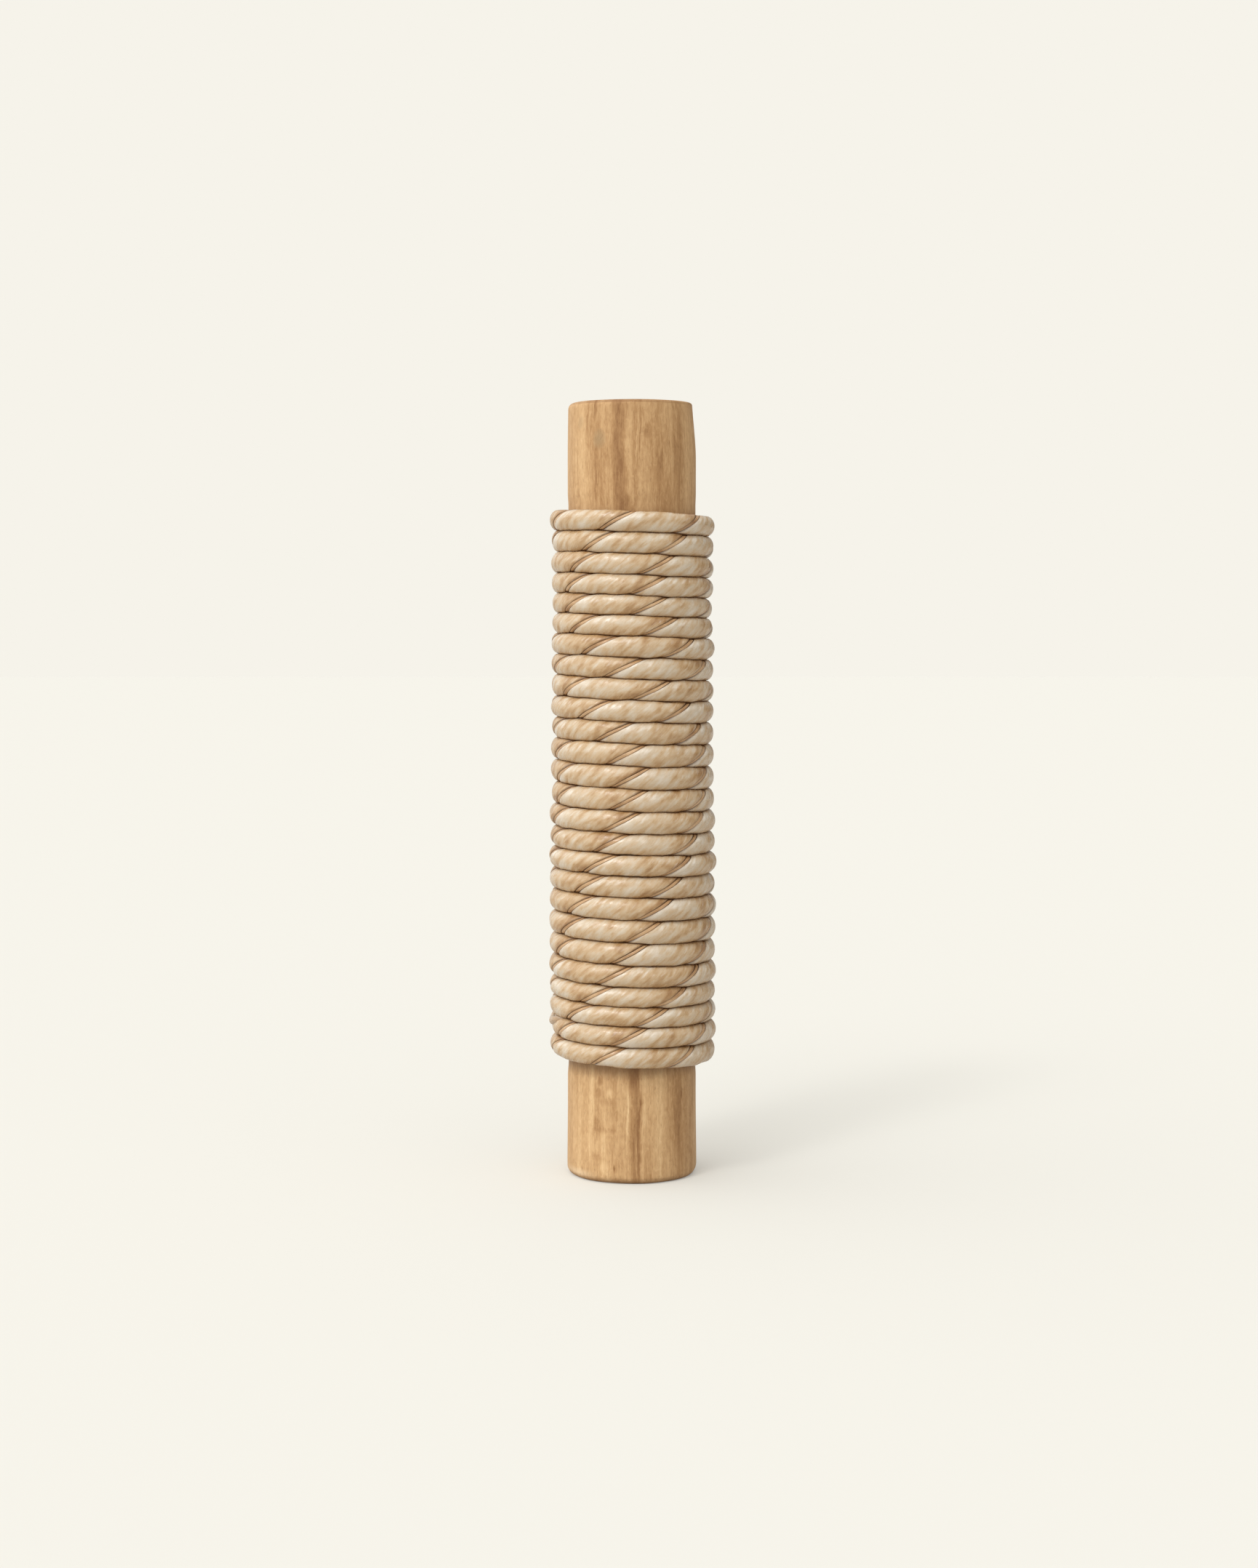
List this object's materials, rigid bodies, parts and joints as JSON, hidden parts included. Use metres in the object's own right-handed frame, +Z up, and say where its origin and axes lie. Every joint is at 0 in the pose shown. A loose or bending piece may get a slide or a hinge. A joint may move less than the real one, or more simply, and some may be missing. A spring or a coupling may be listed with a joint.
{
  "type": "rainstick",
  "caption": "Wooden tube wound with thick twisted cord, closed by a disc at each end; pebbles inside trickle down past a helix of pegs when it is turned over.",
  "frame": {"origin": "centre of the stick's bottom end, in the plane that it stands on", "axes": "+Z up along the tube, -Y towards the front"},
  "size_m": [0.0532, 0.0533, 0.25],
  "materials": {
    "tube_wood": "raw, finely sanded light hardwood with an upright grain",
    "disc_wood": "raw turned end grain",
    "cord": "smooth twisted plant-fibre cord with a faint sheen",
    "bamboo": "raw split bamboo",
    "pebble": "smooth, matt, water-worn"
  },
  "bodies": {
    "stick": {"tube": "tube_wood", "bottom_disc": "disc_wood", "top_disc": "disc_wood", "cord": "cord", "cord_tail": "cord", "pegs_turn_1": "bamboo", "pegs_turn_2": "bamboo", "pegs_turn_3": "bamboo", "pegs_turn_4": "bamboo"},
    "lane_01": {"pebbles_01": "pebble"},
    "lane_02": {"pebbles_02": "pebble"},
    "lane_03": {"pebbles_03": "pebble"},
    "lane_04": {"pebbles_04": "pebble"},
    "lane_05": {"pebbles_05": "pebble"},
    "lane_06": {"pebbles_06": "pebble"},
    "lane_07": {"pebbles_07": "pebble"},
    "lane_08": {"pebbles_08": "pebble"},
    "lane_09": {"pebbles_09": "pebble"},
    "lane_10": {"pebbles_10": "pebble"},
    "lane_11": {"pebbles_11": "pebble"},
    "lane_12": {"pebbles_12": "pebble"}
  },
  "joints": [
    {"name": "fall_01", "type": "slide", "parent": "stick", "child": "lane_01", "axis": [0, 0, 1], "range_m": [0, 0.2047]},
    {"name": "fall_02", "type": "slide", "parent": "stick", "child": "lane_02", "axis": [0, 0, 1], "range_m": [0, 0.2047]},
    {"name": "fall_03", "type": "slide", "parent": "stick", "child": "lane_03", "axis": [0, 0, 1], "range_m": [0, 0.2047]},
    {"name": "fall_04", "type": "slide", "parent": "stick", "child": "lane_04", "axis": [0, 0, 1], "range_m": [0, 0.2047]},
    {"name": "fall_05", "type": "slide", "parent": "stick", "child": "lane_05", "axis": [0, 0, 1], "range_m": [0, 0.2047]},
    {"name": "fall_06", "type": "slide", "parent": "stick", "child": "lane_06", "axis": [0, 0, 1], "range_m": [0, 0.2047]},
    {"name": "fall_07", "type": "slide", "parent": "stick", "child": "lane_07", "axis": [0, 0, 1], "range_m": [0, 0.2047]},
    {"name": "fall_08", "type": "slide", "parent": "stick", "child": "lane_08", "axis": [0, 0, 1], "range_m": [0, 0.2047]},
    {"name": "fall_09", "type": "slide", "parent": "stick", "child": "lane_09", "axis": [0, 0, 1], "range_m": [0, 0.2047]},
    {"name": "fall_10", "type": "slide", "parent": "stick", "child": "lane_10", "axis": [0, 0, 1], "range_m": [0, 0.2047]},
    {"name": "fall_11", "type": "slide", "parent": "stick", "child": "lane_11", "axis": [0, 0, 1], "range_m": [0, 0.2047]},
    {"name": "fall_12", "type": "slide", "parent": "stick", "child": "lane_12", "axis": [0, 0, 1], "range_m": [0, 0.2047]}
  ]
}
